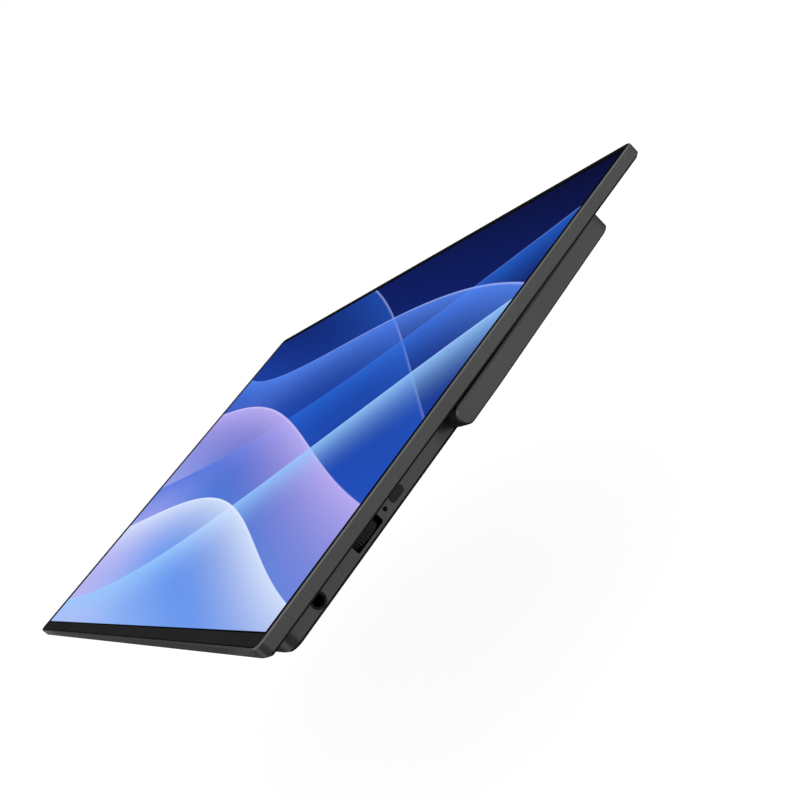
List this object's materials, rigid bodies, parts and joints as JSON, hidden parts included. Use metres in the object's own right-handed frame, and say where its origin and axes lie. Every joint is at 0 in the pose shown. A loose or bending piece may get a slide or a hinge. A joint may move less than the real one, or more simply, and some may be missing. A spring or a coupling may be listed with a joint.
{
  "type": "portable monitor",
  "caption": "Slim portable monitor with side sockets, a jog wheel and a power button on a rear housing, and a U-shaped stand that folds out of its back on friction hinges.",
  "frame": {"origin": "centre of the slab's outline, on the back plane that the housing and the folded stand share", "axes": "+X the viewer's right, +Y the picture's top edge, +Z the way the screen faces; the monitor lies on its back with the stand folded"},
  "size_m": [0.309, 0.1968, 0.012],
  "materials": {
    "body_metal": "bead-blasted, anodised dark grey",
    "chin": "fine matt grain",
    "screen": "anti-glare, lit by a plain wave design",
    "rear_glass": "smooth",
    "film": "satin white",
    "clear_acrylic": "clear, polished edges",
    "led": "white with yellow domes",
    "black_plastic": "moulded matt black",
    "plate_steel": "stamped, bright",
    "foam_tape": "matt foam",
    "flex": "amber film over copper",
    "board": "green solder mask",
    "white_cable": "flat cable",
    "screw_steel": "nickel plated",
    "socket_metal": "drawn steel",
    "hdmi_metal": "drawn steel, warm tint",
    "light_pipe": "clear, frosted end",
    "hinge_steel": "dark oxide, satin",
    "shaft_steel": "ground",
    "foot_rubber": "matt",
    "button": "anodised dark grey, fine grain",
    "wheel": "ribbed, satin"
  },
  "bodies": {
    "display": {"rear_chassis": "body_metal", "chin_strip": "chin", "lcd_front_glass": "screen", "lcd_rear_glass": "rear_glass", "optical_films": "film", "light_guide": "clear_acrylic", "reflector_sheet": "film", "led_strip": "led", "panel_frame": "black_plastic", "panel_back_plate": "plate_steel", "panel_tape": "foam_tape", "driver_flexes": "flex", "timing_board": "board", "display_cable": "flex", "housing_cover": "body_metal", "main_board": "board", "board_chips": "black_plastic", "board_screws": "screw_steel", "key_board": "board", "key_cable": "white_cable", "usb_c_shell_upper": "socket_metal", "usb_c_shell_lower": "socket_metal", "usb_c_tongues": "black_plastic", "mini_hdmi_shell": "hdmi_metal", "mini_hdmi_tongue": "black_plastic", "audio_jack": "black_plastic", "status_led": "led", "led_light_pipe": "light_pipe", "power_switch": "black_plastic", "jog_switch": "black_plastic", "hinge_bracket_left": "plate_steel", "hinge_bracket_right": "plate_steel", "bracket_screws": "screw_steel"},
    "stand": {"stand_frame": "body_metal", "stand_foot": "foot_rubber", "hinge_leaf_left": "hinge_steel", "hinge_leaf_right": "hinge_steel", "leaf_screws": "screw_steel", "hinge_shaft_left": "shaft_steel", "hinge_shaft_right": "shaft_steel", "friction_washers": "plate_steel", "hinge_nuts": "plate_steel"},
    "power_key": {"power_button": "button"},
    "jog_slider": {"jog_carrier": "black_plastic"},
    "jog_roller": {"jog_wheel": "wheel"}
  },
  "joints": [
    {"name": "stand_fold", "type": "hinge", "parent": "display", "child": "stand", "pos_m": [0, -0.01075, 0.00325], "axis": [-1, 0, 0], "range_deg": [0, 160]},
    {"name": "power_press", "type": "slide", "parent": "display", "child": "power_key", "axis": [-1, 0, 0], "range_m": [0, 0.00035], "stiffness_N_per_m": 250},
    {"name": "jog_press", "type": "slide", "parent": "display", "child": "jog_slider", "axis": [-1, 0, 0], "range_m": [0, 0.0004], "stiffness_N_per_m": 250},
    {"name": "jog_roll", "type": "hinge", "parent": "jog_slider", "child": "jog_roller", "pos_m": [0.13925, -0.05365, 0.0035], "axis": [0, 0, 1], "range_deg": [-10, 10], "stiffness_Nm_per_rad": 0.002}
  ]
}
